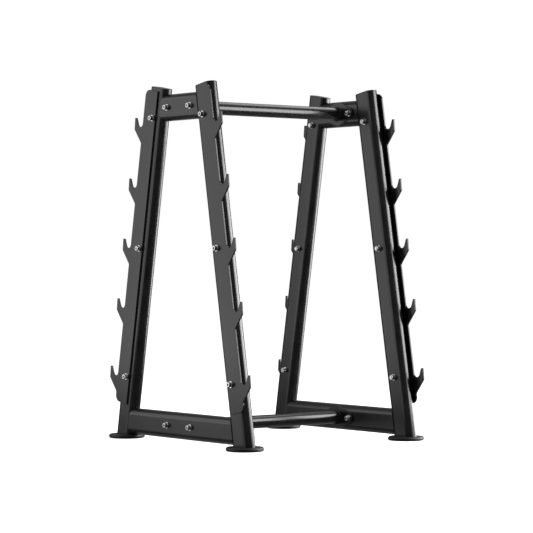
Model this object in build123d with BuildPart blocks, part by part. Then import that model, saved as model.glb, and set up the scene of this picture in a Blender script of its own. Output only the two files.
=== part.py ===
from build123d import *
import os
from math import cos, radians, sin, tan

# Two-sided A-frame rack for fixed barbells, in millimetres.
# X runs along the stored bars, Y is the depth of the rack and Z is up.
# The origin is on the floor, under the middle of the rack.

# --- driving dimensions -------------------------------------------------------------------
half_length = 410.0  # from the middle of the rack to the outer flat of an end frame
tube_depth = 100.0  # flat oval tube, long side
tube_width = 50.0  # flat oval tube, short side
tube_wall = 3.0
lean_angle = 10.0  # each leg leans inwards by this much
foot_spread = 375.0  # from the middle of the rack to a leg's centre line, at floor level
leg_length = 1350.0  # along the leg, from floor level to the cut top

foot_diameter = 138.0
foot_height = 15.0
foot_edge_radius = 6.0
foot_plate_thickness = 8.0

top_beam_height = 1255.0  # centre line above the floor
bottom_beam_height = 67.0
weld_gap = 2.0  # root gap between the coped end of a beam and its leg
weld_recess = 1.6  # how far the bead lies below the tube's surface

plate_thickness = 6.0
plate_inner_edge = 17.5  # from the leg's centre line towards the middle of the rack
plate_outer_edge = 58.5  # from the leg's centre line outwards
plate_bottom = 135.0  # along the leg
plate_top = 1341.0
plate_corner_radius = 25.0
plate_edge_break = 0.8

lowest_hook = 230.0  # floor of the lowest slot, along the leg
lowest_hook_pitch = 265.0
hook_pitch = 233.0
hook_count = 5
slot_radius = 17.0
slot_side_angle = 60.0  # the finger's inner side, measured from the outward direction
hook_rise = 31.0  # from the slot's floor to the finger's tip
nose_offset = 3.5  # the nose falls back by this much below the tip
nose_drop = 14.0  # from the slot's floor down to the nose's lower corner
diagonal_drop = 59.0  # from the slot's floor down to the end of the diagonal
tip_radius = 3.5
tip_width = 9.5
nose_radius = 8.0
heel_radius = 10.0

tie_radius = 25.0
tie_wall = 3.0
flange_thickness = 6.0
flange_middle_radius = 45.0
flange_end_radius = 20.5
tie_bolt_spacing = 147.0
tie_weld_leg = 5.0

bolt_radius = 6.0  # M12 hexagon socket cap screws, 75 long
bolt_length = 75.0
bolt_head_radius = 9.0
bolt_head_height = 12.0
bolt_socket_radius = 5.77
bolt_socket_depth = 6.0
bolt_hole_radius = 6.5
lowest_plate_bolt = 241.5  # along the leg
plate_bolt_pitch = 498.0
plate_bolt_count = 3
washer_radius = 12.0
washer_thickness = 2.5
nut_corner_radius = 10.97
nut_hex_height = 8.4
nut_height = 12.0
nut_collar_radius = 8.7
insert_radius = 7.4
insert_height = 2.6
sleeve_radius = 10.0

cap_thickness = 3.5
cap_edge_radius = 1.5
cap_plug_length = 16.0
cap_plug_wall = 2.5
cap_plug_clearance = 0.3

foot_screw_radius = 5.0  # M10 button head screws, 16 long
foot_screw_length = 16.0
foot_screw_head_radius = 8.75
foot_screw_head_height = 5.5
foot_screw_socket_radius = 3.46
foot_screw_socket_depth = 3.0
foot_recess_radius = 16.0
foot_recess_depth = 9.0
foot_hole_radius = 5.5
foot_washer_radius = 13.0
foot_washer_thickness = 2.0

# --- derived places ----------------------------------------------------------------------
lean = radians(lean_angle)
leg_centre_x = half_length - tube_width / 2
inner_flat_x = half_length - tube_width
hook_places = [lowest_hook]
for step in range(hook_count - 1):
    hook_places.append(lowest_hook + lowest_hook_pitch + step * hook_pitch)
plate_bolt_places = [lowest_plate_bolt + step * plate_bolt_pitch for step in range(plate_bolt_count)]
tie_bolt_places = [-tie_bolt_spacing / 2, tie_bolt_spacing / 2]
ends = {"left": -1, "right": 1}  # left is -X, right is +X
sides = {"front": -1, "rear": 1}  # front is -Y, rear is +Y
beams = {"top": top_beam_height, "bottom": bottom_beam_height}

os.makedirs("parts", exist_ok=True)


def outward(side):
    return Vector(0, side * cos(lean), sin(lean))


def upward(side):
    return Vector(0, -side * sin(lean), cos(lean))


def leg_point(x, side, along):
    """A point on a leg's centre line."""
    return Vector(x, side * foot_spread, 0) + upward(side) * along


def section_plane(end, side, along):
    """Plane across a leg: local X points outwards and local Z runs up the leg."""
    return Plane(origin=leg_point(end * leg_centre_x, side, along), x_dir=outward(side), z_dir=upward(side))


def side_plane(x, side):
    """Plane along a leg at the given X: local X points outwards and local Y runs up the leg."""
    return Plane(origin=leg_point(x, side, 0), x_dir=outward(side), z_dir=(side, 0, 0))


def beam_plane(x, height, end):
    """Plane on an end frame's flat, facing outwards, with local Y up."""
    return Plane(origin=(x, 0, height), x_dir=(0, end, 0), z_dir=(end, 0, 0))


def gather(pieces):
    """Puts separate solids of one kind into one node."""
    with BuildPart() as group:
        for piece in pieces:
            add(piece)
    return group.part


def save(name, part):
    part.label = name
    export_step(part, f"parts/{name}.step")


# --- legs, their caps, foot plates and feet ----------------------------------------------
def make_leg(end, side):
    with BuildPart() as leg:
        with BuildSketch(section_plane(end, side, leg_length)):
            SlotOverall(tube_depth, tube_width)
            SlotOverall(tube_depth - 2 * tube_wall, tube_width - 2 * tube_wall, mode=Mode.SUBTRACT)
        extrude(amount=-leg_length)
        split(bisect_by=Plane.XY.offset(foot_height + foot_plate_thickness), keep=Keep.TOP)
        with BuildSketch(side_plane(end * leg_centre_x, side)):
            with Locations(*[(0, along) for along in plate_bolt_places]):
                Circle(bolt_hole_radius)
        extrude(amount=tube_width, both=True, mode=Mode.SUBTRACT)
    return leg.part


def make_leg_cap(end, side):
    plug_depth = tube_depth - 2 * (tube_wall + cap_plug_clearance)
    plug_width = tube_width - 2 * (tube_wall + cap_plug_clearance)
    with BuildPart() as cap:
        with BuildSketch(section_plane(end, side, leg_length)):
            SlotOverall(tube_depth, tube_width)
        extrude(amount=cap_thickness)
        top_edges = cap.faces().sort_by(Axis((0, 0, 0), upward(side)))[-1].edges()
        fillet(top_edges, radius=cap_edge_radius)
        with BuildSketch(section_plane(end, side, leg_length)):
            SlotOverall(plug_depth, plug_width)
            SlotOverall(plug_depth - 2 * cap_plug_wall, plug_width - 2 * cap_plug_wall, mode=Mode.SUBTRACT)
        extrude(amount=-cap_plug_length)
    return cap.part


def make_foot_plate(end, side):
    with BuildPart() as plate:
        with BuildSketch(section_plane(end, side, 0)):
            SlotOverall(tube_depth, tube_width)
        extrude(amount=tube_depth)
        split(bisect_by=Plane.XY.offset(foot_height), keep=Keep.TOP)
        split(bisect_by=Plane.XY.offset(foot_height + foot_plate_thickness), keep=Keep.BOTTOM)
        with BuildSketch(Plane.XY.offset(foot_height)):
            with Locations((end * leg_centre_x, side * foot_spread)):
                Circle(foot_screw_radius)
        extrude(amount=foot_plate_thickness, mode=Mode.SUBTRACT)
    return plate.part


def make_foot(end, side):
    centre = (end * leg_centre_x, side * foot_spread)
    with BuildPart() as foot:
        with BuildSketch(Plane.XY):
            with Locations(centre):
                Circle(foot_diameter / 2)
        extrude(amount=foot_height)
        fillet(foot.edges().filter_by(GeomType.CIRCLE), radius=foot_edge_radius)
        with BuildSketch(Plane.XY):
            with Locations(centre):
                Circle(foot_recess_radius)
        extrude(amount=foot_recess_depth, mode=Mode.SUBTRACT)
        with BuildSketch(Plane.XY.offset(foot_recess_depth)):
            with Locations(centre):
                Circle(foot_hole_radius)
        extrude(amount=foot_height - foot_recess_depth, mode=Mode.SUBTRACT)
    return foot.part


for end_name, end in ends.items():
    for side_name, side in sides.items():
        save(f"{end_name}_{side_name}_leg", make_leg(end, side))
        save(f"{end_name}_{side_name}_leg_cap", make_leg_cap(end, side))
        save(f"{end_name}_{side_name}_foot_plate", make_foot_plate(end, side))
        save(f"{end_name}_{side_name}_rubber_foot", make_foot(end, side))


# --- crossbeams of the end frames and the beads that join them to the legs ----------------
def make_beam(end, height):
    half_span = foot_spread - height * tan(lean)
    with BuildPart() as beam:
        with BuildSketch(Plane.XZ):
            with Locations((end * leg_centre_x, height)):
                SlotOverall(tube_depth, tube_width, rotation=90)
                inner_depth = tube_depth - 2 * tube_wall
                SlotOverall(inner_depth, tube_width - 2 * tube_wall, rotation=90, mode=Mode.SUBTRACT)
        extrude(amount=half_span, both=True)
        for side in sides.values():
            with BuildSketch(section_plane(end, side, 0)):
                SlotOverall(tube_depth + 2 * weld_gap, tube_width + 2 * weld_gap)
            extrude(amount=leg_length + tube_depth, mode=Mode.SUBTRACT)
        with BuildSketch(beam_plane(end * leg_centre_x, height, end)):
            with Locations(*[(place, 0) for place in tie_bolt_places]):
                Circle(bolt_hole_radius)
        extrude(amount=tube_width, both=True, mode=Mode.SUBTRACT)
    return beam.part


def make_beam_weld(end, side, height):
    """One bead, which fills the root gap between a beam's end and the leg."""
    half_span = foot_spread - height * tan(lean)
    outer_trim = 2 * weld_recess
    inner_trim = 2 * tube_wall
    with BuildPart() as bead:
        with BuildSketch(Plane.XZ):
            with Locations((end * leg_centre_x, height)):
                SlotOverall(tube_depth - outer_trim, tube_width - outer_trim, rotation=90)
                SlotOverall(tube_depth - inner_trim, tube_width - inner_trim, rotation=90, mode=Mode.SUBTRACT)
        extrude(amount=-side * half_span)
        with BuildSketch(section_plane(end, side, 0)):
            SlotOverall(tube_depth + 2 * weld_gap, tube_width + 2 * weld_gap)
        extrude(amount=leg_length + tube_depth, mode=Mode.INTERSECT)
        with BuildSketch(section_plane(end, side, 0)):
            SlotOverall(tube_depth, tube_width)
        extrude(amount=leg_length + tube_depth, mode=Mode.SUBTRACT)
    return bead.part


for end_name, end in ends.items():
    for beam_name, height in beams.items():
        save(f"{end_name}_{beam_name}_crossbeam", make_beam(end, height))
    beads = [make_beam_weld(end, side, height) for side in sides.values() for height in beams.values()]
    save(f"{end_name}_frame_welds", gather(beads))


# --- hook plates -------------------------------------------------------------------------
def hook_corners(floor):
    """Corners of one hook from its slot round the finger, in the plate's own plane."""
    slot_centre = Vector(plate_outer_edge + slot_radius, floor + slot_radius)
    rise_direction = Vector(cos(radians(slot_side_angle)), sin(radians(slot_side_angle)))
    leave = slot_centre + Vector(rise_direction.Y, -rise_direction.X) * slot_radius
    tip_inner = leave + rise_direction * ((floor + hook_rise - leave.Y) / rise_direction.Y)
    tip_outer = tip_inner + Vector(tip_width, 0)
    nose = Vector(tip_outer.X - nose_offset, floor - nose_drop)
    heel = Vector(plate_outer_edge, floor - diagonal_drop)
    return slot_centre, leave, tip_inner, tip_outer, nose, heel


def pick_corners(sketch, points):
    return [sketch.vertices().sort_by_distance(point)[0] for point in points]


def make_hook_plate(end, side):
    hooks = [hook_corners(floor) for floor in hook_places]
    with BuildPart() as plate:
        with BuildSketch(side_plane(end * half_length, side)) as outline:
            middle = ((plate_outer_edge - plate_inner_edge) / 2, (plate_top + plate_bottom) / 2)
            with Locations(middle):
                Rectangle(plate_inner_edge + plate_outer_edge, plate_top - plate_bottom)
            edge_ends = [Vector(plate_outer_edge, plate_bottom), Vector(plate_outer_edge, plate_top)]
            fillet(pick_corners(outline.sketch_local, edge_ends), radius=plate_corner_radius)
            for slot_centre, leave, tip_inner, tip_outer, nose, heel in hooks:
                slot_start = slot_centre - Vector(slot_radius, 0)
                root = Vector(-slot_radius, 0)
                with BuildLine():
                    CenterArc(slot_centre, slot_radius, 180, slot_side_angle + 90)
                    Polyline(leave, tip_inner, tip_outer, nose, heel, heel + root, slot_start + root, slot_start)
                make_face()
            for slot_centre, leave, tip_inner, tip_outer, nose, heel in hooks:
                fillet(pick_corners(outline.sketch_local, [tip_inner, tip_outer]), radius=tip_radius)
                fillet(pick_corners(outline.sketch_local, [nose]), radius=nose_radius)
                fillet(pick_corners(outline.sketch_local, [heel]), radius=heel_radius)
            with Locations(*[(0, along) for along in plate_bolt_places]):
                Circle(bolt_hole_radius, mode=Mode.SUBTRACT)
        extrude(amount=end * side * plate_thickness)
        outer_face = plate.faces().sort_by(Axis.X)[-1 if end > 0 else 0]
        chamfer(outer_face.outer_wire().edges(), length=plate_edge_break)
    return plate.part


for end_name, end in ends.items():
    for side_name, side in sides.items():
        save(f"{end_name}_{side_name}_hook_plate", make_hook_plate(end, side))


# --- tie tubes between the end frames ----------------------------------------------------
def make_tie_tube(height):
    with BuildPart() as tube:
        with BuildSketch(Plane.YZ):
            with Locations((0, height)):
                Circle(tie_radius)
                Circle(tie_radius - tie_wall, mode=Mode.SUBTRACT)
        extrude(amount=inner_flat_x - flange_thickness, both=True)
    return tube.part


def make_flange(end, height):
    with BuildPart() as flange:
        with BuildSketch(beam_plane(end * inner_flat_x, height, end)):
            Circle(flange_middle_radius)
            with Locations(*[(place, 0) for place in tie_bolt_places]):
                Circle(flange_end_radius)
            make_hull()
            with Locations(*[(place, 0) for place in tie_bolt_places]):
                Circle(bolt_hole_radius, mode=Mode.SUBTRACT)
        extrude(amount=-flange_thickness)
        inner_face = flange.faces().sort_by(Axis.X)[0 if end > 0 else -1]
        chamfer(inner_face.outer_wire().edges(), length=plate_edge_break)
    return flange.part


def make_tie_weld(end, height):
    with BuildPart() as bead:
        with BuildSketch(beam_plane(end * (inner_flat_x - flange_thickness), height, end)):
            Circle(tie_radius + tie_weld_leg)
            Circle(tie_radius, mode=Mode.SUBTRACT)
        extrude(amount=-tie_weld_leg)
        far_face = bead.faces().filter_by(Axis.X).sort_by(Axis.X)[0 if end > 0 else -1]
        chamfer(far_face.outer_wire().edges(), length=tie_weld_leg * 0.9)
    return bead.part


for beam_name, height in beams.items():
    save(f"{beam_name}_tie_tube", make_tie_tube(height))
    for end_name, end in ends.items():
        save(f"{beam_name}_tie_{end_name}_flange", make_flange(end, height))
beads = [make_tie_weld(end, height) for end in ends.values() for height in beams.values()]
save("tie_tube_welds", gather(beads))


# --- fasteners, each made on a plane that faces out of its end frame ----------------------
def make_bolt(plane):
    """Cap screw whose head stands on the plane."""
    with BuildPart() as bolt:
        with BuildSketch(plane):
            Circle(bolt_head_radius)
        extrude(amount=bolt_head_height)
        top = bolt.faces().sort_by(Axis(plane.origin, plane.z_dir))[-1]
        fillet(top.edges(), radius=1.0)
        with BuildSketch(plane.offset(bolt_head_height)):
            RegularPolygon(bolt_socket_radius, 6)
        extrude(amount=-bolt_socket_depth, mode=Mode.SUBTRACT)
        with BuildSketch(plane):
            Circle(bolt_radius)
        extrude(amount=-bolt_length)
        tip = bolt.faces().sort_by(Axis(plane.origin, plane.z_dir))[0]
        chamfer(tip.edges(), length=1.0)
    return bolt.part


def make_ring(plane, outer_radius, inner_radius, thickness):
    with BuildPart() as ring:
        with BuildSketch(plane):
            Circle(outer_radius)
            Circle(inner_radius, mode=Mode.SUBTRACT)
        extrude(amount=thickness)
    return ring.part


def make_nut(plane):
    """Lock nut that stands on the plane, with a collar for its insert."""
    with BuildPart() as nut:
        with BuildSketch(plane):
            RegularPolygon(nut_corner_radius, 6)
        extrude(amount=nut_hex_height)
        with BuildSketch(plane):
            Circle(nut_collar_radius)
        extrude(amount=nut_height)
        top = nut.faces().sort_by(Axis(plane.origin, plane.z_dir))[-1]
        fillet(top.edges(), radius=0.9)
        with BuildSketch(plane):
            Circle(bolt_radius)
        extrude(amount=nut_height, mode=Mode.SUBTRACT)
        with BuildSketch(plane.offset(nut_height - insert_height)):
            Circle(insert_radius)
        extrude(amount=insert_height, mode=Mode.SUBTRACT)
    return nut.part


def face_plane(x, y, z, direction):
    """Plane with its normal along +X or -X."""
    return Plane(origin=(x, y, z), x_dir=(0, 1, 0), z_dir=(direction, 0, 0))


def fasten(group_name, end, places, outer_x, inner_x):
    """Bolts, washers, nuts and sleeves of one end frame, between its outer and inner seats."""
    kinds = {"bolts": [], "washers": [], "nuts": [], "nut_inserts": [], "sleeves": []}
    head_x = outer_x + washer_thickness
    nut_x = inner_x - washer_thickness
    insert_x = nut_x - nut_height + insert_height
    sleeve_length = tube_width - 2 * tube_wall
    for y, z in places:
        kinds["bolts"].append(make_bolt(face_plane(end * head_x, y, z, end)))
        outer_seat = face_plane(end * outer_x, y, z, end)
        inner_seat = face_plane(end * inner_x, y, z, -end)
        kinds["washers"].append(make_ring(outer_seat, washer_radius, bolt_hole_radius, washer_thickness))
        kinds["washers"].append(make_ring(inner_seat, washer_radius, bolt_hole_radius, washer_thickness))
        kinds["nuts"].append(make_nut(face_plane(end * nut_x, y, z, -end)))
        insert_plane = face_plane(end * insert_x, y, z, -end)
        kinds["nut_inserts"].append(make_ring(insert_plane, insert_radius, bolt_radius, insert_height))
        sleeve_plane = face_plane(end * (half_length - tube_wall), y, z, -end)
        kinds["sleeves"].append(make_ring(sleeve_plane, sleeve_radius, bolt_hole_radius, sleeve_length))
    for kind, pieces in kinds.items():
        save(f"{group_name}_{kind}", gather(pieces))


for end_name, end in ends.items():
    plate_places = []
    for side in sides.values():
        for along in plate_bolt_places:
            point = leg_point(0, side, along)
            plate_places.append((point.Y, point.Z))
    fasten(f"{end_name}_plate", end, plate_places, half_length + plate_thickness, inner_flat_x)
    tie_places = [(place, height) for place in tie_bolt_places for height in beams.values()]
    fasten(f"{end_name}_tie", end, tie_places, half_length, inner_flat_x - flange_thickness)


# --- screws and washers that hold the feet -------------------------------------------------
def make_foot_screw(x, y):
    under_head = foot_recess_depth - foot_washer_thickness
    with BuildPart() as screw:
        with BuildSketch(Plane.XY.offset(under_head)):
            with Locations((x, y)):
                Circle(foot_screw_head_radius)
        extrude(amount=-foot_screw_head_height)
        fillet(screw.faces().sort_by(Axis.Z)[0].edges(), radius=foot_screw_head_height * 0.6)
        with BuildSketch(Plane.XY.offset(under_head - foot_screw_head_height)):
            with Locations((x, y)):
                RegularPolygon(foot_screw_socket_radius, 6)
        extrude(amount=foot_screw_socket_depth, mode=Mode.SUBTRACT)
        with BuildSketch(Plane.XY.offset(under_head)):
            with Locations((x, y)):
                Circle(foot_screw_radius)
        extrude(amount=foot_screw_length)
    return screw.part


def make_foot_washer(x, y):
    with BuildPart() as washer:
        with BuildSketch(Plane.XY.offset(foot_recess_depth - foot_washer_thickness)):
            with Locations((x, y)):
                Circle(foot_washer_radius)
                Circle(foot_hole_radius, mode=Mode.SUBTRACT)
        extrude(amount=foot_washer_thickness)
    return washer.part


foot_centres = [(end * leg_centre_x, side * foot_spread) for end in ends.values() for side in sides.values()]
save("foot_screws", gather([make_foot_screw(x, y) for x, y in foot_centres]))
save("foot_washers", gather([make_foot_washer(x, y) for x, y in foot_centres]))
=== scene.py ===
import bpy
import bmesh
import math
from mathutils import Matrix, Vector


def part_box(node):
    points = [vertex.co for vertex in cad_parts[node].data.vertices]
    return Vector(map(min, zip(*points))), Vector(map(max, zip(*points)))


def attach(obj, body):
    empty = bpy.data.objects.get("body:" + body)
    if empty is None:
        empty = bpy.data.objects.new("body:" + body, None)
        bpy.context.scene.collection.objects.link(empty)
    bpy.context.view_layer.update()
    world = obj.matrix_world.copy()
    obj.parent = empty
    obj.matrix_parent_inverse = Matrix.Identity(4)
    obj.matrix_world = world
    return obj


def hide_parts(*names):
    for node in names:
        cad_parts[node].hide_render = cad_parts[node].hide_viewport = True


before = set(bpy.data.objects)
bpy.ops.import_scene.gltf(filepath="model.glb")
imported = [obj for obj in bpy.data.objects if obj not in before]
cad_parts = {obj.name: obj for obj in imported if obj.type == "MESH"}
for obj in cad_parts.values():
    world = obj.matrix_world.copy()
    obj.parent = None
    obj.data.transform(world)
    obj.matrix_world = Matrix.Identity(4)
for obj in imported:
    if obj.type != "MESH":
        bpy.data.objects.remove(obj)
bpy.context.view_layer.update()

# Barbell rack: two A-shaped end frames of flat oval tube, joined by two round tie tubes.
# X runs along the stored bars, Y is the depth and Z is up. Metres throughout.
# Left is -X, right is +X, front is -Y and rear is +Y.
mm = 0.001
ends = {"left": -1, "right": 1}
sides = {"front": -1, "rear": 1}

rack = {
    "halfLength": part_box("left_front_leg")[0].x * -1,  # middle of the rack to an outer flat
    "tubeDepth": 100 * mm,  # flat oval tube, long side
    "tubeWidth": 50 * mm,
    "wall": 3 * mm,
    "lean": math.radians(10),
    "footSpread": 375 * mm,  # middle of the rack to a leg's centre line, at the floor
    "legLength": 1350 * mm,
    "legFoot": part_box("left_front_leg")[0].z,  # height of the leg's cut end
    "topBeam": 1255 * mm,
    "bottomBeam": 67 * mm,
    "boltHole": 6.5 * mm,
    "tieBolt": 73.5 * mm,  # from the middle of a flange to a bolt
    "plateBolts": [241.5 * mm, 739.5 * mm, 1237.5 * mm],  # along the leg
}
legCentre = rack["halfLength"] - rack["tubeWidth"] / 2
innerFlat = rack["halfLength"] - rack["tubeWidth"]
cosLean = math.cos(rack["lean"])
sinLean = math.sin(rack["lean"])
beamHeights = {"top": rack["topBeam"], "bottom": rack["bottomBeam"]}


def legPlace(side, along, out=0.0):
    # (y, z) of a point on a leg: along runs up the leg, out points away from the rack
    y = side * (rack["footSpread"] - along * sinLean + out * cosLean)
    return y, along * cosLean + out * sinLean


# --- sockets and nodes -------------------------------------------------------------
class Wire:
    # one output socket: arithmetic on it adds Math nodes to its tree
    def __init__(self, tree, socket):
        self.tree = tree
        self.socket = socket

    def maths(self, operation, first, second=0.0):
        return self.tree.add("ShaderNodeMath", {"operation": operation}, {0: first, 1: second})

    def __add__(self, other):
        return self.maths("ADD", self, other)

    def __radd__(self, other):
        return self.maths("ADD", other, self)

    def __sub__(self, other):
        return self.maths("SUBTRACT", self, other)

    def __rsub__(self, other):
        return self.maths("SUBTRACT", other, self)

    def __mul__(self, other):
        return self.maths("MULTIPLY", self, other)

    def __rmul__(self, other):
        return self.maths("MULTIPLY", other, self)

    def __truediv__(self, other):
        return self.maths("DIVIDE", self, other)

    def __rtruediv__(self, other):
        return self.maths("DIVIDE", other, self)


class Tree:
    # a node tree, shader or geometry, that is filled one node at a time
    def __init__(self, nodeTree):
        self.nodeTree = nodeTree

    def add(self, kind, settings=None, inputs=None, output=0):
        node = self.nodeTree.nodes.new(kind)
        for key, value in (settings or {}).items():
            if key == "stops":
                self.setStops(node, value)
            else:
                setattr(node, key, value)
        for key, value in (inputs or {}).items():
            self.feed(node.inputs[key], value)
        return Wire(self, node.outputs[output]) if node.outputs else node

    def feed(self, socket, value):
        if isinstance(value, Wire):
            self.nodeTree.links.new(value.socket, socket)
        else:
            socket.default_value = value

    def setStops(self, node, stops):
        elements = node.color_ramp.elements
        while len(elements) < len(stops):
            elements.new(1.0)
        for element, (position, shade) in zip(elements, stops):
            element.position = position
            element.color = (shade, shade, shade, 1)

    def other(self, wire, output):
        # another output of the node that a wire comes from
        return Wire(self, wire.socket.node.outputs[output])


# --- finishes ----------------------------------------------------------------------
def startMaterial(name):
    material = bpy.data.materials.new(name)
    material.use_nodes = True
    material.node_tree.nodes.clear()
    return material, Tree(material.node_tree)


def endMaterial(tree, shader):
    tree.add("ShaderNodeOutputMaterial", None, {"Surface": shader})


def noise(tree, place, scale, detail=3.0, roughness=0.5):
    return tree.add("ShaderNodeTexNoise", None,
                    {"Vector": place, "Scale": scale, "Detail": detail, "Roughness": roughness})


def mixColour(tree, amount, first, second):
    settings = {"data_type": "RGBA"}
    return tree.add("ShaderNodeMix", settings, {0: amount, 6: first, 7: second}, 2)


def ramp(tree, value, stops):
    return tree.add("ShaderNodeValToRGB", {"stops": stops}, {0: value})


def bump(tree, height, strength, distance):
    return tree.add("ShaderNodeBump", None, {"Height": height, "Strength": strength, "Distance": distance})


def coatedSteel(name, look):
    # powder coat: orange peel, faint mottling, dust specks and paler worn edges
    material, tree = startMaterial(name)
    place = tree.add("ShaderNodeTexCoord", None, None, "Object")
    peel = noise(tree, place, look["peelScale"], 2.0)
    mottle = noise(tree, place, look["mottleScale"], 5.0, 0.6)
    speck = ramp(tree, noise(tree, place, look["speckScale"], 1.0), look["speckStops"])
    point = tree.add("ShaderNodeNewGeometry", None, None, "Pointiness")
    edge = ramp(tree, point, look["edgeStops"])
    worn = edge * (mottle * look["edgeWear"])
    coat = mixColour(tree, mottle, look["dark"], look["pale"])
    dusty = mixColour(tree, speck * look["speckAmount"], coat, look["speckColour"])
    colour = mixColour(tree, worn, dusty, look["wornColour"])
    rough = look["roughness"] + (mottle - 0.5) * look["roughnessSpread"] + speck * look["speckRoughness"]
    shader = tree.add("ShaderNodeBsdfPrincipled", None, {
        "Base Color": colour,
        "Roughness": rough,
        "Normal": bump(tree, peel, look["peelStrength"], look["peelHeight"]),
    })
    endMaterial(tree, shader)
    return material


frameCoat = {
    "dark": (0.0006, 0.0006, 0.0007, 1),
    "pale": (0.0016, 0.0016, 0.0017, 1),
    "speckColour": (0.012, 0.012, 0.012, 1),
    "wornColour": (0.014, 0.014, 0.0145, 1),
    "peelScale": 420.0,
    "peelStrength": 0.12,
    "peelHeight": 0.12 * mm,
    "mottleScale": 14.0,
    "speckScale": 900.0,
    "speckStops": [(0.70, 0.0), (0.76, 1.0)],  # only the noise's peaks become specks
    "speckAmount": 0.5,
    "speckRoughness": 0.06,
    "edgeStops": [(0.53, 0.0), (0.60, 1.0)],  # how convex an edge has to be to wear
    "edgeWear": 0.6,
    "roughness": 0.24,
    "roughnessSpread": 0.07,
}
plateCoat = dict(frameCoat, mottleScale=18.0, roughness=0.26)
weldCoat = dict(frameCoat, peelScale=700.0, peelStrength=0.3, roughness=0.36)


def platedSteel(name, look):
    # bright zinc plate: a fine grain and uneven brightness
    material, tree = startMaterial(name)
    place = tree.add("ShaderNodeTexCoord", None, None, "Object")
    cloud = noise(tree, place, look["cloudScale"], 3.0)
    grain = noise(tree, place, look["grainScale"], 2.0)
    colour = mixColour(tree, cloud, look["dark"], look["pale"])
    shader = tree.add("ShaderNodeBsdfPrincipled", None, {
        "Base Color": colour,
        "Metallic": 1.0,
        "Roughness": look["roughness"] + (grain - 0.5) * look["roughnessSpread"],
        "Normal": bump(tree, grain, look["grainStrength"], look["grainHeight"]),
    })
    endMaterial(tree, shader)
    return material


boltSteel = {
    "dark": (0.58, 0.58, 0.59, 1),
    "pale": (0.82, 0.82, 0.83, 1),
    "cloudScale": 160.0,
    "grainScale": 2200.0,
    "grainStrength": 0.15,
    "grainHeight": 0.04 * mm,
    "roughness": 0.2,
    "roughnessSpread": 0.12,
}


def mouldedPlastic(name, look):
    # moulded black plastic, rubber or nylon: spark-eroded grain and slow shade changes
    material, tree = startMaterial(name)
    place = tree.add("ShaderNodeTexCoord", None, None, "Object")
    grain = noise(tree, place, look["grainScale"], 4.0, 0.65)
    cloud = noise(tree, place, look["cloudScale"], 3.0)
    colour = mixColour(tree, cloud, look["dark"], look["pale"])
    shader = tree.add("ShaderNodeBsdfPrincipled", None, {
        "Base Color": colour,
        "Roughness": look["roughness"] + (cloud - 0.5) * look["roughnessSpread"],
        "Normal": bump(tree, grain, look["grainStrength"], look["grainHeight"]),
    })
    endMaterial(tree, shader)
    return material


capPlastic = {
    "dark": (0.0015, 0.0015, 0.0015, 1),
    "pale": (0.003, 0.003, 0.003, 1),
    "grainScale": 1400.0,
    "cloudScale": 60.0,
    "grainStrength": 0.12,
    "grainHeight": 0.05 * mm,
    "roughness": 0.22,
    "roughnessSpread": 0.08,
}
footRubber = {
    "dark": (0.0012, 0.0012, 0.0012, 1),
    "pale": (0.003, 0.003, 0.0029, 1),
    "grainScale": 900.0,
    "cloudScale": 45.0,
    "grainStrength": 0.35,
    "grainHeight": 0.12 * mm,
    "roughness": 0.52,
    "roughnessSpread": 0.16,
}
nylonRing = {
    "dark": (0.52, 0.53, 0.54, 1),
    "pale": (0.66, 0.67, 0.68, 1),
    "grainScale": 1500.0,
    "cloudScale": 200.0,
    "grainStrength": 0.1,
    "grainHeight": 0.04 * mm,
    "roughness": 0.38,
    "roughnessSpread": 0.1,
}

finishes = {
    "frame_coat": coatedSteel("frameCoat", frameCoat),
    "plate_coat": coatedSteel("plateCoat", plateCoat),
    "weld_coat": coatedSteel("weldCoat", weldCoat),
    "zinc": platedSteel("zincPlate", boltSteel),
    "cap_plastic": mouldedPlastic("capPlastic", capPlastic),
    "foot_rubber": mouldedPlastic("footRubber", footRubber),
    "nylon": mouldedPlastic("nylonRing", nylonRing),
}
print("finishes made:", len(finishes))


# --- mesh helpers ------------------------------------------------------------------
def ringMesh(rings, closed):
    # bridges rings of points; closed joins the last ring to the first, else both ends are capped
    mesh = bmesh.new()
    loops = [[mesh.verts.new(point) for point in ring] for ring in rings]
    pairs = list(zip(loops, loops[1:]))
    if closed:
        pairs.append((loops[-1], loops[0]))
    for first, second in pairs:
        count = len(first)
        for index in range(count):
            after = (index + 1) % count
            mesh.faces.new((first[index], first[after], second[after], second[index]))
    if not closed:
        mesh.faces.new(loops[0])
        mesh.faces.new(loops[-1])
    bmesh.ops.recalc_face_normals(mesh, faces=mesh.faces)
    return mesh


def placeObject(name, data):
    piece = bpy.data.objects.new(name, data)
    bpy.context.scene.collection.objects.link(piece)
    return piece


def newObject(name, mesh, material=None):
    data = bpy.data.meshes.new(name)
    mesh.to_mesh(data)
    mesh.free()
    if material:
        data.materials.append(material)
    return placeObject(name, data)


def bakeModifiers(piece):
    # turns the evaluated piece into a plain mesh
    bpy.context.view_layer.update()
    graph = bpy.context.evaluated_depsgraph_get()
    evaluated = piece.evaluated_get(graph)
    data = bpy.data.meshes.new_from_object(evaluated, preserve_all_data_layers=True, depsgraph=graph)
    piece.modifiers.clear()
    piece.data = data


def crossHoles(places, radius):
    # a cutter of round bars along X through each (y, z) place
    mesh = bmesh.new()
    steps = 48
    reach = rack["halfLength"] + rack["tubeWidth"]
    outline = circle(radius, steps)
    for y, z in places:
        rows = []
        for x in (-reach, reach):
            rows.append([mesh.verts.new((x, y + outY, z + outZ)) for outY, outZ in outline])
        for index in range(steps):
            after = (index + 1) % steps
            mesh.faces.new((rows[0][index], rows[0][after], rows[1][after], rows[1][index]))
        mesh.faces.new(rows[0])
        mesh.faces.new(rows[1])
    bmesh.ops.recalc_face_normals(mesh, faces=mesh.faces)
    return newObject("holeCutter", mesh)


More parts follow.
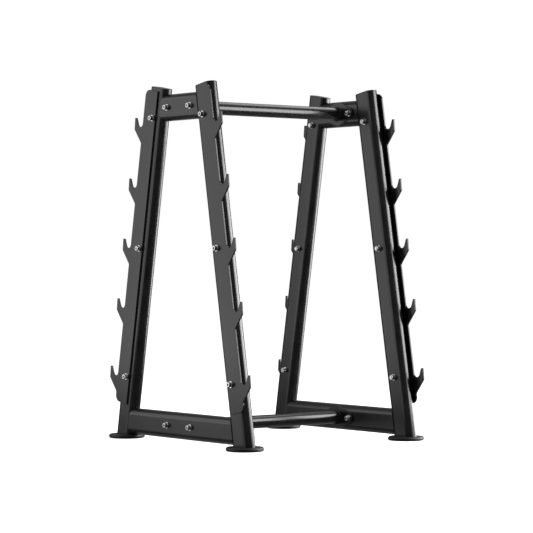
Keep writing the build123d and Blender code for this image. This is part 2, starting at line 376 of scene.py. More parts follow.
def finishPiece(piece, slotName, nodes, holes=None, sharpAngle=35):
    # cuts the holes, settles the shading and hands the piece to the frame
    if holes:
        cutter = crossHoles(*holes)
        cut = piece.modifiers.new("holes", "BOOLEAN")
        cut.operation = "DIFFERENCE"
        cut.solver = "EXACT"
        cut.object = cutter
        bakeModifiers(piece)
        bpy.data.objects.remove(cutter)
    for face in piece.data.polygons:
        face.use_smooth = True
    piece.data.set_sharp_from_angle(angle=math.radians(sharpAngle))
    weighted = piece.modifiers.new("weighted", "WEIGHTED_NORMAL")
    weighted.keep_sharp = True
    weighted.weight = 100
    bakeModifiers(piece)
    piece.data.materials.clear()
    piece.data.materials.append(finishes[slotName])
    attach(piece, "root")
    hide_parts(*nodes)
    compareBoxes(piece, nodes)


def compareBoxes(piece, nodes):
    # prints how far the piece stands out of the nodes that it replaces
    low = [min(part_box(node)[0][axis] for node in nodes) for axis in range(3)]
    high = [max(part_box(node)[1][axis] for node in nodes) for axis in range(3)]
    proud = 0.0
    for vertex in piece.data.vertices:
        for axis in range(3):
            proud = max(proud, low[axis] - vertex.co[axis], vertex.co[axis] - high[axis])
    triangles = sum(len(face.vertices) - 2 for face in piece.data.polygons)
    print(f"{piece.name}: {triangles} triangles, at most {proud / mm:.2f} mm proud")


def flatOval(depth, width, steps=28):
    # outline of a flat oval: (along its long side, along its short side)
    radius = width / 2
    reach = (depth - width) / 2
    points = []
    for centre, start in ((reach, -90), (-reach, 90)):
        for step in range(steps + 1):
            angle = math.radians(start + 180 * step / steps)
            points.append((centre + radius * math.cos(angle), radius * math.sin(angle)))
    return points


def circle(radius, steps):
    angles = [2 * math.pi * step / steps for step in range(steps)]
    return [(radius * math.cos(angle), radius * math.sin(angle)) for angle in angles]


def shrink(outline, amount):
    # moves each point of a clockwise or anticlockwise outline inwards
    count = len(outline)
    area = sum(outline[i - 1][0] * outline[i][1] - outline[i][0] * outline[i - 1][1] for i in range(count))
    inward = 1 if area > 0 else -1
    moved = []
    for index, (x, y) in enumerate(outline):
        before = Vector(outline[index]) - Vector(outline[index - 1])
        after = Vector(outline[(index + 1) % count]) - Vector(outline[index])
        first = Vector((-before.y, before.x)).normalized() * inward
        second = Vector((-after.y, after.x)).normalized() * inward
        normal = (first + second).normalized()
        stretch = 1 / max(0.5, normal.dot(first))
        moved.append((x + normal.x * amount * stretch, y + normal.y * amount * stretch))
    return moved


# --- legs, caps, foot plates and feet --------------------------------------------------
cap = {
    "thickness": 3.5 * mm,
    "edgeRadius": 1.5 * mm,
    "seam": 0.35 * mm,  # reveal between the cap and the tube
    "plugLength": 16 * mm,
    "plugWall": 2.5 * mm,
    "plugGap": 0.3 * mm,
    "topInset": 5 * mm,  # where the middle of the top begins, inside the rounded edge
}
foot = {
    "radius": 69 * mm,
    "height": 15 * mm,
    "edgeRadius": 6 * mm,
    "recessRadius": 16 * mm,
    "recessDepth": 9 * mm,
    "holeRadius": 5.5 * mm,
    "grooveRadius": 58 * mm,  # ring moulded into the top, near its edge
    "grooveDepth": 0.8 * mm,
    "grooveSection": [(1.2, 0.0), (0.6, 0.7), (0.0, 1.0), (-0.6, 0.7), (-1.2, 0.0)],  # mm out, share deep
    "rimEdge": 0.4 * mm,  # bevel where the recess meets the floor
    "plateEdge": 0.5 * mm,  # bevel of the steel plate above the foot
    "steps": 8,  # faces round a rounded edge
}


def acrossLeg(end, side, outline, along):
    # a ring square to the leg
    ring = []
    for out, across in outline:
        y, z = legPlace(side, along, out)
        ring.append((end * legCentre + across, y, z))
    return ring


def levelRing(end, side, outline, height):
    # a ring where the leg's section meets a level plane
    ring = []
    for out, across in outline:
        along = (height - out * sinLean) / cosLean
        y, z = legPlace(side, along, out)
        ring.append((end * legCentre + across, y, z))
    return ring


def makeLeg(name, end, side):
    outer = flatOval(rack["tubeDepth"], rack["tubeWidth"])
    inner = flatOval(rack["tubeDepth"] - 2 * rack["wall"], rack["tubeWidth"] - 2 * rack["wall"])
    rings = [
        levelRing(end, side, outer, rack["legFoot"]),
        acrossLeg(end, side, outer, rack["legLength"]),
        acrossLeg(end, side, inner, rack["legLength"]),
        levelRing(end, side, inner, rack["legFoot"]),
    ]
    piece = newObject(name + "_tube", ringMesh(rings, True))
    places = [legPlace(side, along) for along in rack["plateBolts"]]
    finishPiece(piece, "frame_coat", [name], (places, rack["boltHole"]))


def makeCap(name, end, side):
    full = flatOval(rack["tubeDepth"], rack["tubeWidth"])
    gap = rack["wall"] + cap["plugGap"]
    plug = flatOval(rack["tubeDepth"] - 2 * gap, rack["tubeWidth"] - 2 * gap)
    hollow = shrink(plug, cap["plugWall"])
    base = rack["legLength"]
    shoulder = base + cap["thickness"] - cap["edgeRadius"]
    inside = shrink(full, cap["edgeRadius"] + cap["topInset"])
    rings = [acrossLeg(end, side, inside, base + cap["thickness"])]
    for angle in (90, 67.5, 45, 22.5, 0):
        turn = math.radians(angle)
        inset = cap["edgeRadius"] * (1 - math.cos(turn))
        rings.append(acrossLeg(end, side, shrink(full, inset), shoulder + cap["edgeRadius"] * math.sin(turn)))
    rings.append(acrossLeg(end, side, full, base + cap["seam"] * 1.6))
    rings.append(acrossLeg(end, side, shrink(full, cap["seam"]), base + cap["seam"]))
    rings.append(acrossLeg(end, side, shrink(full, cap["seam"]), base))
    rings.append(acrossLeg(end, side, plug, base))
    rings.append(acrossLeg(end, side, plug, base - cap["plugLength"]))
    rings.append(acrossLeg(end, side, hollow, base - cap["plugLength"]))
    rings.append(acrossLeg(end, side, hollow, base))
    piece = newObject(name + "_moulding", ringMesh(rings, False))
    finishPiece(piece, "cap_plastic", [name])


def makeFootPlate(name, end, side):
    outline = flatOval(rack["tubeDepth"], rack["tubeWidth"])
    low = foot["height"]
    high = rack["legFoot"]
    edge = foot["plateEdge"]
    rings = [
        levelRing(end, side, shrink(outline, edge), low),
        levelRing(end, side, outline, low + edge),
        levelRing(end, side, outline, high - edge),
        levelRing(end, side, shrink(outline, edge), high),
    ]
    piece = newObject(name + "_pad", ringMesh(rings, False))
    finishPiece(piece, "frame_coat", [name])


def footProfile():
    # (radius, height) round the foot's section, from the underside's recess outwards
    edge = foot["edgeRadius"]
    rim = foot["rimEdge"]
    points = [(foot["recessRadius"], foot["recessDepth"]), (foot["recessRadius"], rim)]
    points.append((foot["recessRadius"] + rim, 0.0))
    for start, level in ((-90, edge), (0, foot["height"] - edge)):
        for step in range(foot["steps"] + 1):
            angle = math.radians(start + 90 * step / foot["steps"])
            points.append((foot["radius"] - edge + edge * math.cos(angle), level + edge * math.sin(angle)))
    top = foot["height"]
    for offset, drop in foot["grooveSection"]:
        points.append((foot["grooveRadius"] + offset * mm, top - drop * foot["grooveDepth"]))
    points.append((foot["holeRadius"], top))
    points.append((foot["holeRadius"], foot["recessDepth"]))
    return points


def makeFoot(name, end, side):
    rings = []
    centreY = side * rack["footSpread"]
    for radius, height in footProfile():
        rings.append([(end * legCentre + x, centreY + y, height) for x, y in circle(radius, 128)])
    piece = newObject(name + "_disc", ringMesh(rings, True))
    finishPiece(piece, "foot_rubber", [name])


for endName, end in ends.items():
    for sideName, side in sides.items():
        place = f"{endName}_{sideName}_"
        makeLeg(place + "leg", end, side)
        makeCap(place + "leg_cap", end, side)
        makeFootPlate(place + "foot_plate", end, side)
        makeFoot(place + "rubber_foot", end, side)
print("legs and feet made")


# --- crossbeams, whose ends are coped round the legs -----------------------------------
cope = {"gap": 2 * mm, "straight": (rack["tubeDepth"] - rack["tubeWidth"]) / 2}


def legSurface(x, z, gap):
    # distance from the rack's middle to a leg's inner side, offset by gap
    radius = rack["tubeWidth"] / 2 + gap
    reach = cope["straight"] + math.sqrt(max(0.0, radius * radius - x * x))
    return rack["footSpread"] - z * math.tan(rack["lean"]) - reach / cosLean


def beamRing(end, side, height, outline):
    ring = []
    for up, across in outline:
        z = height + up
        ring.append((end * legCentre + across, side * legSurface(across, z, cope["gap"]), z))
    return ring


def makeBeam(name, end, height):
    outer = flatOval(rack["tubeDepth"], rack["tubeWidth"])
    inner = flatOval(rack["tubeDepth"] - 2 * rack["wall"], rack["tubeWidth"] - 2 * rack["wall"])
    rings = [
        beamRing(end, -1, height, outer),
        beamRing(end, 1, height, outer),
        beamRing(end, 1, height, inner),
        beamRing(end, -1, height, inner),
    ]
    piece = newObject(name + "_tube", ringMesh(rings, True))
    places = [(-rack["tieBolt"], height), (rack["tieBolt"], height)]
    finishPiece(piece, "frame_coat", [name], (places, rack["boltHole"]))


for endName, end in ends.items():
    for beamName, height in beamHeights.items():
        makeBeam(f"{endName}_{beamName}_crossbeam", end, height)
print("crossbeams made")


# --- hook plates -----------------------------------------------------------------------
plate = {
    "thickness": 6 * mm,
    "inner": -17.5 * mm,  # edge towards the middle of the rack, from the leg's centre line
    "outer": 58.5 * mm,
    "bottom": 135 * mm,  # along the leg
    "top": 1341 * mm,
    "cornerRadius": 25 * mm,
    "edgeRadius": 0.8 * mm,
    "backEdge": 0.3 * mm,
}
hook = {
    "floors": [230 * mm, 495 * mm, 728 * mm, 961 * mm, 1194 * mm],
    "slotRadius": 17 * mm,
    "sideAngle": math.radians(60),
    "rise": 31 * mm,
    "tipWidth": 9.5 * mm,
    "tipRadius": 3.5 * mm,
    "noseBack": 3.5 * mm,
    "noseDrop": 14 * mm,
    "noseRadius": 8 * mm,
    "heelDrop": 59 * mm,
    "heelRadius": 10 * mm,
}


def hookCorners(floor):
    # (x, y, corner radius) from the slot's start, round the finger, to the heel
    radius = hook["slotRadius"]
    centre = Vector((plate["outer"] + radius, floor + radius))
    points = []
    steps = 30
    sweep = math.radians(90) + hook["sideAngle"]  # round the slot's floor to where the finger leaves it
    for step in range(steps + 1):
        angle = math.pi + sweep * step / steps
        points.append((centre.x + radius * math.cos(angle), centre.y + radius * math.sin(angle), 0))
    leave = Vector(points[-1][:2])
    rise = Vector((math.cos(hook["sideAngle"]), math.sin(hook["sideAngle"])))
    tip = leave + rise * ((floor + hook["rise"] - leave.y) / rise.y)
    tipOuter = tip.x + hook["tipWidth"]
    points.append((tip.x, tip.y, hook["tipRadius"]))
    points.append((tipOuter, tip.y, hook["tipRadius"]))
    points.append((tipOuter - hook["noseBack"], floor - hook["noseDrop"], hook["noseRadius"]))
    points.append((plate["outer"], floor - hook["heelDrop"], hook["heelRadius"]))
    return points


def roundCorners(corners, steps=9):
    outline = []
    count = len(corners)
    for index, (x, y, radius) in enumerate(corners):
        here = Vector((x, y))
        if not radius:
            outline.append((x, y))
            continue
        before = (Vector(corners[index - 1][:2]) - here).normalized()
        after = (Vector(corners[(index + 1) % count][:2]) - here).normalized()
        half = before.angle(after) / 2
        centre = here + (before + after).normalized() * (radius / math.sin(half))
        start = here + before * (radius / math.tan(half)) - centre
        finish = here + after * (radius / math.tan(half)) - centre
        turn = math.atan2(start.cross(finish), start.dot(finish))
        for step in range(steps + 1):
            angle = turn * step / steps
            spoke = Matrix.Rotation(angle, 2) @ start
            outline.append((centre.x + spoke.x, centre.y + spoke.y))
    return outline


def plateOutline():
    corners = [(plate["inner"], plate["top"], 0), (plate["outer"], plate["top"], plate["cornerRadius"])]
    for floor in reversed(hook["floors"]):
        corners.extend(hookCorners(floor))
    corners.append((plate["outer"], plate["bottom"], plate["cornerRadius"]))
    corners.append((plate["inner"], plate["bottom"], 0))
    return roundCorners(corners)


def slabRings(outline, thickness, edge, backEdge, place):
    # rings of a flat plate whose front edge is rounded by edge and whose back edge by backEdge
    rings = [place(shrink(outline, backEdge), 0.0), place(outline, backEdge)]
    for angle in (0, 30, 60, 90):
        turn = math.radians(angle)
        inset = edge * (1 - math.cos(turn))
        rings.append(place(shrink(outline, inset), thickness - edge + edge * math.sin(turn)))
    return rings


def makePlate(name, end, side):
    def place(outline, depth):
        x = end * (rack["halfLength"] + depth)
        return [(x, *legPlace(side, along, out)) for out, along in outline]

    rings = slabRings(plateOutline(), plate["thickness"], plate["edgeRadius"], plate["backEdge"], place)
    piece = newObject(name + "_steel", ringMesh(rings, False))
    places = [legPlace(side, along) for along in rack["plateBolts"]]
    finishPiece(piece, "plate_coat", [name], (places, rack["boltHole"]))


for endName, end in ends.items():
    for sideName, side in sides.items():
        makePlate(f"{endName}_{sideName}_hook_plate", end, side)
print("hook plates made")


# --- tie tubes and their flanges -----------------------------------------------------------
tie = {
    "radius": 25 * mm,
    "wall": 3 * mm,
    "flange": 6 * mm,  # thickness
    "middle": 45 * mm,  # radius of the flange's middle
    "endRadius": 20.5 * mm,
    "edgeRadius": 0.8 * mm,
    "backEdge": 0.3 * mm,
}


def makeTieTube(name, height):
    reach = innerFlat - tie["flange"]
    rings = []
    for inner, x in ((0, -1), (0, 1), (1, 1), (1, -1)):
        radius = tie["radius"] - inner * tie["wall"]
        rings.append([(x * reach, y, height + z) for y, z in circle(radius, 72)])
    piece = newObject(name + "_pipe", ringMesh(rings, True))
    finishPiece(piece, "frame_coat", [name])


def flangeOutline():
    # a large disc and two small ones, wrapped by their common tangents
    lean = math.degrees(math.acos((tie["middle"] - tie["endRadius"]) / rack["tieBolt"]))
    arcs = [
        (rack["tieBolt"], tie["endRadius"], -lean, lean, 20),
        (0, tie["middle"], lean, 180 - lean, 8),
        (-rack["tieBolt"], tie["endRadius"], 180 - lean, 180 + lean, 20),
        (0, tie["middle"], 180 + lean, 360 - lean, 8),
    ]
    outline = []
    for centre, radius, first, last, steps in arcs:
        for step in range(steps + 1):
            angle = math.radians(first + (last - first) * step / steps)
            outline.append((centre + radius * math.cos(angle), radius * math.sin(angle)))
    return outline


def makeFlange(name, end, height):
    def place(outline, depth):
        return [(end * (innerFlat - depth), y, height + z) for y, z in outline]

    rings = slabRings(flangeOutline(), tie["flange"], tie["edgeRadius"], tie["backEdge"], place)
    piece = newObject(name + "_steel", ringMesh(rings, False))
    places = [(-rack["tieBolt"], height), (rack["tieBolt"], height)]
    finishPiece(piece, "frame_coat", [name], (places, rack["boltHole"]))


for beamName, height in beamHeights.items():
    makeTieTube(f"{beamName}_tie_tube", height)
    for endName, end in ends.items():
        makeFlange(f"{beamName}_tie_{endName}_flange", end, height)
print("tie tubes made")


# --- geometry node helpers -----------------------------------------------------------------
def startGeometry(name, look):
    # a geometry tree with one named input for each value of the piece, and one for its material
    kinds = {int: "NodeSocketInt", float: "NodeSocketFloat"}
    sockets = [(label, kinds[type(value)], value) for label, value in look.items()]
    sockets.append(("Material", "NodeSocketMaterial", None))
    group = bpy.data.node_groups.new(name, "GeometryNodeTree")
    group.interface.new_socket("Geometry", in_out="INPUT", socket_type="NodeSocketGeometry")
    group.interface.new_socket("Geometry", in_out="OUTPUT", socket_type="NodeSocketGeometry")
    for label, kind, value in sockets:
        socket = group.interface.new_socket(label, in_out="INPUT", socket_type=kind)
        if value is not None:
            socket.default_value = value
    tree = Tree(group)
    start = group.nodes.new("NodeGroupInput")
    wires = {output.name: Wire(tree, output) for output in start.outputs if output.name}
    return group, tree, wires


def endGeometry(tree, geometry, material):
    real = tree.add("GeometryNodeRealizeInstances", None, {"Geometry": geometry})
    painted = tree.add("GeometryNodeSetMaterial", None, {"Geometry": real, "Material": material})
    end = tree.nodeTree.nodes.new("NodeGroupOutput")
    tree.nodeTree.links.new(painted.socket, end.inputs[0])


def addGeometry(piece, group, material):
    # the material input is set by its identifier; the rest keep the group's own values
    modifier = piece.modifiers.new(group.name, "NODES")
    modifier.node_group = group
    for item in group.interface.items_tree:
        if item.in_out == "INPUT" and item.name == "Material":
            modifier[item.identifier] = material


def vector(tree, x=0.0, y=0.0, z=0.0):
    return tree.add("ShaderNodeCombineXYZ", None, {0: x, 1: y, 2: z})


def move(tree, geometry, z):
    return tree.add("GeometryNodeTransform", None,
                    {"Geometry": geometry, "Translation": vector(tree, 0, 0, z)})


def column(tree, radius, height, around, rows, bottom):
    # an upright cylinder that stands on the level called bottom
    settings = {"Vertices": around, "Side Segments": rows, "Radius": radius, "Depth": height}
    made = tree.add("GeometryNodeMeshCylinder", {"fill_type": "NGON"}, settings)
    return move(tree, made, bottom + height * 0.5)


def position(tree):
    spot = tree.add("GeometryNodeInputPosition")
    apart = tree.add("ShaderNodeSeparateXYZ", None, {0: spot})
    return apart, tree.other(apart, 1), tree.other(apart, 2)


def scaleSides(tree, geometry, factor):
    # moves every point towards or from the upright axis
    x, y, z = position(tree)
    return tree.add("GeometryNodeSetPosition", None,
                    {"Geometry": geometry, "Position": vector(tree, x * factor, y * factor, z)})


def angleNow(tree):
    x, y, z = position(tree)
    return y.maths("ARCTAN2", y, x)


def lowest(first, second):
    return first.maths("MINIMUM", first, second)


def highest(first, second):
    return first.maths("MAXIMUM", first, second)


def join(tree, pieces):
    node = tree.nodeTree.nodes.new("GeometryNodeJoinGeometry")
    for piece in reversed(pieces):
        tree.nodeTree.links.new(piece.socket, node.inputs[0])
    return Wire(tree, node.outputs[0])


def cut(tree, body, tool):
    node = tree.nodeTree.nodes.new("GeometryNodeMeshBoolean")
    node.operation = "DIFFERENCE"
    node.solver = "EXACT"
    tree.nodeTree.links.new(body.socket, node.inputs[0])
    tree.nodeTree.links.new(tool.socket, node.inputs[1])
    return Wire(tree, node.outputs[0])


def standOnPoints(tree, points, shape, seed):
    # one copy on each point, turned at random about its axis, its top facing along "facing"
    facing = tree.add("GeometryNodeInputNamedAttribute", {"data_type": "FLOAT_VECTOR"}, {"Name": "facing"})
    turned = tree.add("FunctionNodeAlignRotationToVector", {"axis": "Z"}, {"Vector": facing})
    spin = tree.add("FunctionNodeRandomValue", {"data_type": "FLOAT"},
                    {2: 0.0, 3: math.pi * 2, "Seed": seed}, 1)
    twist = tree.add("FunctionNodeAxisAngleToRotation", None, {"Axis": (0.0, 0.0, 1.0), "Angle": spin})
    both = tree.add("FunctionNodeRotateRotation", {"rotation_space": "LOCAL"}, {0: turned, 1: twist})
    return tree.add("GeometryNodeInstanceOnPoints", None,
                    {"Points": points, "Instance": shape, "Rotation": both})


def seatPoints(name, seats):
    # a mesh of loose points: (x, y, z, direction along X)
    mesh = bmesh.new()
    for x, y, z, direction in seats:
        mesh.verts.new((x, y, z))
    piece = newObject(name, mesh)
    facing = piece.data.attributes.new("facing", "FLOAT_VECTOR", "POINT")
    for index, seat in enumerate(seats):
        facing.data[index].vector = (seat[3], 0.0, 0.0)
    return piece


# --- cap screws ----------------------------------------------------------------------------
screw = {
    "Head Radius": 9 * mm,
    "Head Height": 12 * mm,
    "Edge Round": 1.0 * mm,
    "Knurls": 48,
    "Knurl Depth": 0.25 * mm,
    "Socket Radius": 5.77 * mm,
    "Socket Depth": 6 * mm,
    "Shank Radius": 6 * mm,
    "Length": 75 * mm,
    "Thread Length": 30 * mm,
    "Pitch": 1.75 * mm,
    "Thread Depth": 0.9 * mm,
    "Tip Share": 0.8,  # the point's radius as a share of the shank's
    "Seed": 7,
}


screwMesh = {"facesPerKnurl": 4, "headRows": 24, "shankSides": 48, "threadSides": 24, "rowsPerTurn": 6}


def screwTree():
    group, tree, wires = startGeometry("capScrew", screw)
    headRadius = wires["Head Radius"]
    edge = wires["Edge Round"]
    # the head is one drum, knurled up to a plain crown with a rounded edge
    around = wires["Knurls"] * screwMesh["facesPerKnurl"]
    head = column(tree, headRadius, wires["Head Height"], around, screwMesh["headRows"], 0.0)
    x, y, z = position(tree)
    turns = angleNow(tree) * wires["Knurls"] * (1 / (2 * math.pi))
    wave = 2 * turns.maths("PINGPONG", turns, 0.5)
    knurled = highest((wires["Head Height"] - edge * 2 - z) / edge, 0.0)
    groove = wave * lowest(knurled, 1.0) * wires["Knurl Depth"]
    rise = highest((z - (wires["Head Height"] - edge)) / edge, 0.0)
    inside = rise.maths("SQRT", lowest(1 - rise * rise, 1.0))
    head = scaleSides(tree, head, 1 - (groove + (1 - inside) * edge) / headRadius)
    socketTool = column(tree, wires["Socket Radius"], wires["Socket Depth"] * 2, 6, 1,
                        wires["Head Height"] - wires["Socket Depth"])
    body = cut(tree, head, socketTool)
    plainLength = wires["Length"] - wires["Thread Length"]
    shank = column(tree, wires["Shank Radius"], plainLength, screwMesh["shankSides"], 1, 0 - plainLength)
    rows = wires["Thread Length"] / wires["Pitch"] * screwMesh["rowsPerTurn"]
    thread = column(tree, wires["Shank Radius"], wires["Thread Length"], screwMesh["threadSides"], rows,
                    0 - wires["Length"])
    x, y, z = position(tree)
    turns = z / wires["Pitch"] - angleNow(tree) * (1 / (2 * math.pi))
    tooth = 2 * turns.maths("PINGPONG", turns, 0.5)
    tip = (z + wires["Length"]) / wires["Shank Radius"] + wires["Tip Share"]
    factor = lowest(1 - tooth * wires["Thread Depth"] / wires["Shank Radius"], tip)
    thread = scaleSides(tree, thread, factor)
    shape = join(tree, [body, shank, thread])
    placed = standOnPoints(tree, wires["Geometry"], shape, wires["Seed"])
    endGeometry(tree, placed, wires["Material"])
    return group


# --- lock nuts -----------------------------------------------------------------------------
nut = {
    "Corner Radius": 10.97 * mm,
    "Hex Height": 8.4 * mm,
    "Face Radius": 9.1 * mm,  # where the corner chamfer starts
    "Height": 12 * mm,
    "Collar Radius": 8.7 * mm,
    "Insert Radius": 7.4 * mm,
    "Insert Height": 2.6 * mm,
    "Bore Radius": 6 * mm,
    "Rim": 0.9 * mm,  # height of the collar's rounded top
    "Seed": 23,
}
nutMesh = {"hexSides": 96, "hexRows": 24, "collarSides": 64, "collarRows": 20, "boreSides": 48}
chamferSlope = math.radians(30)


def nutTree():
    group, tree, wires = startGeometry("lockNut", nut)
    corner = wires["Corner Radius"]
    height = wires["Height"]
    hexBody = column(tree, corner, wires["Hex Height"], nutMesh["hexSides"], nutMesh["hexRows"], 0.0)
    x, y, z = position(tree)
    sixth = math.pi / 3
    turned = angleNow(tree) + 2 * math.pi
    within = turned.maths("MODULO", turned, sixth)
    slant = within.maths("COSINE", within - sixth / 2)
    flat = math.cos(sixth / 2) / slant
    nearFace = lowest(z, wires["Hex Height"] - z)
    chamfer = (wires["Face Radius"] + nearFace * (1 / math.tan(chamferSlope))) / corner
    hexBody = scaleSides(tree, hexBody, lowest(flat, chamfer))
    # the collar starts inside the hexagon, half way up
    start = wires["Hex Height"] * 0.5
    collar = column(tree, wires["Collar Radius"], height - start, nutMesh["collarSides"],
                    nutMesh["collarRows"], start)
    x, y, z = position(tree)
    rim = highest(z - (height - wires["Rim"]), 0.0)
    collar = scaleSides(tree, collar, 1 - rim * rim * (0.5 / wires["Rim"]) / wires["Collar Radius"])
    bore = column(tree, wires["Bore Radius"], height * 3, nutMesh["boreSides"], 1, 0 - height)
    body = cut(tree, hexBody, bore)
    top = cut(tree, collar, bore)
    seat = column(tree, wires["Insert Radius"], height, nutMesh["boreSides"], 1,
                  height - wires["Insert Height"])
    top = cut(tree, top, seat)
    placed = standOnPoints(tree, wires["Geometry"], join(tree, [body, top]), wires["Seed"])
    endGeometry(tree, placed, wires["Material"])
    return group


# --- washers -------------------------------------------------------------------------------
washer = {
    "Outer Radius": 12 * mm,
    "Inner Radius": 6.5 * mm,
    "Thickness": 2.5 * mm,
    "Edge Round": 0.35 * mm,
    "Seed": 3,
}
washerMesh = {"sides": 80, "rows": 14, "holeSides": 64}


def washerTree():
    group, tree, wires = startGeometry("washer", washer)
    thickness = wires["Thickness"]
    disc = column(tree, wires["Outer Radius"], thickness, washerMesh["sides"], washerMesh["rows"], 0.0)
    x, y, z = position(tree)
    near = lowest(z, thickness - z) / wires["Edge Round"]
    away = highest(1 - near, 0.0)
    disc = scaleSides(tree, disc, 1 - away * away * wires["Edge Round"] / wires["Outer Radius"])
    hole = column(tree, wires["Inner Radius"], thickness * 3, washerMesh["holeSides"], 1, 0 - thickness)
    ring = cut(tree, disc, hole)
    placed = standOnPoints(tree, wires["Geometry"], ring, wires["Seed"])
    endGeometry(tree, placed, wires["Material"])
    return group


crispAngle = 25  # degrees: below the 30 of the crowns and chamfers, so that their edges stay sharp


def fasten(name, end, places, outerSeat, innerSeat):
    # screws, washers and nuts of one end frame
    seat = washer["Thickness"]
    heads = [(end * (outerSeat + seat), y, z, end) for y, z in places]
    rings = [(end * outerSeat, y, z, end) for y, z in places]
    rings.extend((end * innerSeat, y, z, -end) for y, z in places)
    nuts = [(end * (innerSeat - seat), y, z, -end) for y, z in places]
    kinds = [("bolts", screws, heads), ("washers", washers, rings), ("nuts", lockNuts, nuts)]
    for kind, group, seats in kinds:
        piece = seatPoints(f"{name}_{kind}_set", seats)
        addGeometry(piece, group, finishes["zinc"])
        bakeModifiers(piece)
        finishPiece(piece, "zinc", [f"{name}_{kind}"], None, crispAngle)


screws = screwTree()
lockNuts = nutTree()
washers = washerTree()
for endName, end in ends.items():
    platePlaces = [legPlace(side, along) for side in sides.values() for along in rack["plateBolts"]]
    fasten(f"{endName}_plate", end, platePlaces, rack["halfLength"] + plate["thickness"], innerFlat)
    tiePlaces = [(y, z) for y in (-rack["tieBolt"], rack["tieBolt"]) for z in beamHeights.values()]
    fasten(f"{endName}_tie", end, tiePlaces, rack["halfLength"], innerFlat - tie["flange"])
print("fasteners made")


# --- weld beads ----------------------------------------------------------------------------
bead = {
    "Radius": 2.7 * mm,
    "Step": 0.6 * mm,
    "Ripple Pitch": 2.6 * mm,
    "Ripple Height": 0.09,  # share of the radius
    "Unevenness": 0.25,  # share of the radius
}
seam = {
    "sink": 3.4 * mm,  # how far the middle of a crossbeam's bead lies below the tube's surface
    "tieLift": 1.2 * mm,  # how far the middle of a tie tube's bead lies off the tube and the flange
    "sharpAngle": 80,  # degrees, so that ripples stay smooth
}


def beadTree():
    group, tree, wires = startGeometry("weldBead", bead)
    line = tree.add("GeometryNodeResampleCurve", {"mode": "LENGTH"},
                    {"Curve": wires["Geometry"], "Length": wires["Step"]})
    run = tree.add("GeometryNodeSplineParameter", None, None, "Length")
    phase = run / wires["Ripple Pitch"] * (2 * math.pi)
    wave = phase.maths("SINE", phase)
    spot = tree.add("GeometryNodeInputPosition")
    uneven = tree.add("ShaderNodeTexNoise", None, {"Vector": spot, "Scale": 90.0, "Detail": 1.0})
    size = 1 + wave * wires["Ripple Height"] + (uneven - 0.5) * wires["Unevenness"]
    swollen = tree.add("GeometryNodeSetCurveRadius", None, {"Curve": line, "Radius": size})
    section = tree.add("GeometryNodeCurvePrimitiveCircle", None,
                       {"Resolution": 12, "Radius": wires["Radius"]})
    body = tree.add("GeometryNodeCurveToMesh", None, {"Curve": swollen, "Profile Curve": section})
    endGeometry(tree, body, wires["Material"])
    return group


def beadCurve(name, lines):
    data = bpy.data.curves.new(name, "CURVE")
    data.dimensions = "3D"
    for line in lines:
        spline = data.splines.new("POLY")
        spline.points.add(len(line) - 1)
        for point, place in zip(spline.points, line):
            point.co = (*place, 1)
        spline.use_cyclic_u = True
    return placeObject(name, data)


def makeBeads(name, lines, node):
    # a curve can't take mesh data, so its evaluated mesh goes into a new object
    curve = beadCurve(name + "_seam", lines)
    addGeometry(curve, beads, finishes["weld_coat"])
    bpy.context.view_layer.update()
    evaluated = curve.evaluated_get(bpy.context.evaluated_depsgraph_get())
    piece = placeObject(name + "_beads", bpy.data.meshes.new_from_object(evaluated))
    bpy.data.objects.remove(curve)
    finishPiece(piece, "weld_coat", [node], None, seam["sharpAngle"])


def copeSeam(end, side, height):
    # a closed line along the middle of the gap between a crossbeam and a leg
    outline = flatOval(rack["tubeDepth"] - 2 * seam["sink"], rack["tubeWidth"] - 2 * seam["sink"], 24)
    line = []
    for up, across in outline:
        z = height + up
        y = (legSurface(across, z, 0.0) + legSurface(across, z, cope["gap"])) / 2
        line.append((end * legCentre + across, side * y, z))
    return line


def tieSeam(end, height):
    # a closed line round a tie tube, where it meets its flange
    lift = seam["tieLift"]
    x = end * (innerFlat - tie["flange"] - lift)
    return [(x, y, height + z) for y, z in circle(tie["radius"] + lift, 72)]


beads = beadTree()
for endName, end in ends.items():
    lines = [copeSeam(end, side, height) for side in sides.values() for height in beamHeights.values()]
    makeBeads(f"{endName}_frame", lines, f"{endName}_frame_welds")
lines = [tieSeam(end, height) for end in ends.values() for height in beamHeights.values()]
makeBeads("tie_tube", lines, "tie_tube_welds")
print("weld beads made")


# --- small CAD nodes that stay as they are ----------------------------------------------------
def keepNode(node, slotName):
    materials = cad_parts[node].data.materials
    materials.clear()
    materials.append(finishes[slotName])


for endName in ends:
    for group in ("plate", "tie"):
        keepNode(f"{endName}_{group}_nut_inserts", "nylon")
        keepNode(f"{endName}_{group}_sleeves", "zinc")
keepNode("foot_screws", "zinc")
keepNode("foot_washers", "zinc")


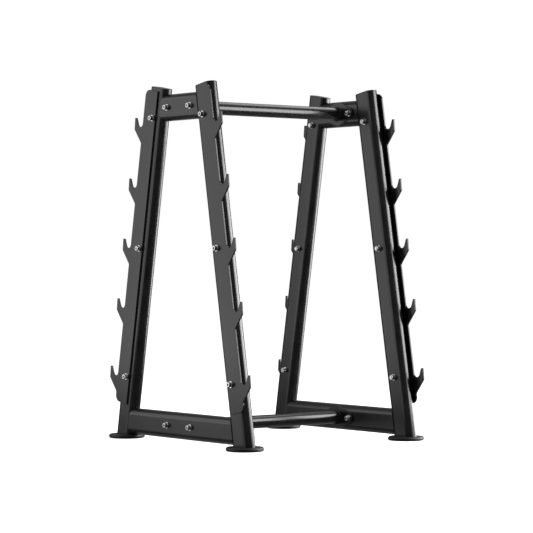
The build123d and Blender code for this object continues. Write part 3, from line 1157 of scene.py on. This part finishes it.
# --- floor, light and camera -----------------------------------------------------------------
studio = {
    "floorSize": 60.0,
    "floorShade": 0.86,
    "floorGlow": 0.72,
    "background": 1.0,
    "domeStops": [(0.0, 0.05), (0.45, 0.045), (0.62, 0.08), (1.0, 0.5)],  # from straight down to straight up
    "glowStops": [(0.35, 0.0), (0.95, 0.26)],
    "glowWay": (0.64, 0.64, -0.42),  # the middle of a faint glow, low and behind the right end
    "fill": 0.42,  # what rough surfaces gather from all round
}
lamps = {  # place, target, width, height, radiance
    "keyBox": ((1.77, -1.77, 1.38), (0.0, 0.0, 1.3), 1.9, 1.8, 10.0),
    "stripBox": ((2.6, -0.65, 0.65), (0.0, -0.1, 0.65), 1.4, 1.9, 10.0),
    "backBox": ((-2.77, 1.4, 1.55), (-0.37, -0.25, 1.1), 4.0, 3.1, 1.3),
    "lowBox": ((-2.27, 2.13, -0.3), (0.0, 0.9, -0.3), 1.2, 1.3, 0.65),
    "topBox": ((1.6, 0.3, 3.0), (0.0, 0.0, 0.8), 1.6, 1.2, 3.0),
}
view = {
    "place": (-5.2042, -6.6976, 0.7090),
    "azimuth": math.radians(-37.874),
    "elevation": math.radians(0.336),
    "lens": 149.75,
}


def makeFloor():
    mesh = bmesh.new()
    half = studio["floorSize"] / 2
    corners = ((-1, -1), (1, -1), (1, 1), (-1, 1))
    mesh.faces.new([mesh.verts.new((x * half, y * half, 0)) for x, y in corners])
    material, tree = startMaterial("studioFloor")
    shade = studio["floorShade"]
    shader = tree.add("ShaderNodeBsdfPrincipled", None, {
        "Base Color": (shade, shade, shade, 1),
        "Roughness": 0.9,
        "Specular IOR Level": 0.1,
        "Emission Color": (1, 1, 1, 1),
        "Emission Strength": studio["floorGlow"],
    })
    endMaterial(tree, shader)
    floor = newObject("floor", mesh, material)
    floor.visible_glossy = False
    floor.visible_shadow = False


def softBox(name, place, target, width, height, radiance):
    light = bpy.data.lights.new(name, "AREA")
    light.shape = "RECTANGLE"
    light.size = width
    light.size_y = height
    light.energy = radiance * width * height * math.pi
    lamp = placeObject(name, light)
    lamp.location = place
    lamp.rotation_euler = (Vector(target) - Vector(place)).to_track_quat("-Z", "Y").to_euler()
    lamp.visible_camera = False


def makeWorld():
    # white to the camera, an even grey to rough surfaces, and in reflections dark below and
    # paler above, with a faint glow behind
    world = bpy.data.worlds.new("studio")
    bpy.context.scene.world = world
    world.use_nodes = True
    world.node_tree.nodes.clear()
    tree = Tree(world.node_tree)
    direction = tree.add("ShaderNodeTexCoord", None, None, "Generated")
    parts = tree.add("ShaderNodeSeparateXYZ", None, {0: direction})
    up = tree.other(parts, 2)
    dome = ramp(tree, up * 0.5 + 0.5, studio["domeStops"])
    away = tree.add("ShaderNodeVectorMath", {"operation": "DOT_PRODUCT"},
                    {0: direction, 1: studio["glowWay"]}, 1)
    mirrored = dome + ramp(tree, away, studio["glowStops"])
    seen = tree.add("ShaderNodeLightPath", None, None, "Is Camera Ray")
    soft = tree.other(seen, "Is Diffuse Ray")
    fill = studio["fill"]
    shade = mixColour(tree, soft, mirrored, (fill, fill, fill, 1))
    shade = mixColour(tree, seen, shade, (1, 1, 1, 1))
    back = tree.add("ShaderNodeBackground", None, {"Color": shade, "Strength": studio["background"]})
    tree.add("ShaderNodeOutputWorld", None, {"Surface": back})


def makeCamera():
    lens = bpy.data.cameras.new("camera")
    lens.sensor_width = 36.0
    lens.lens = view["lens"]
    lens.clip_end = 200.0
    camera = placeObject("camera", lens)
    level = math.cos(view["elevation"])
    back = Vector((math.sin(view["azimuth"]) * level, -math.cos(view["azimuth"]) * level,
                   math.sin(view["elevation"])))
    camera.location = view["place"]
    camera.rotation_euler = (-back).to_track_quat("-Z", "Y").to_euler()
    bpy.context.scene.camera = camera


makeFloor()
makeWorld()
makeCamera()
for lampName, lamp in lamps.items():
    softBox(lampName, *lamp)
bpy.context.scene.view_settings.view_transform = "Standard"
print("studio made")
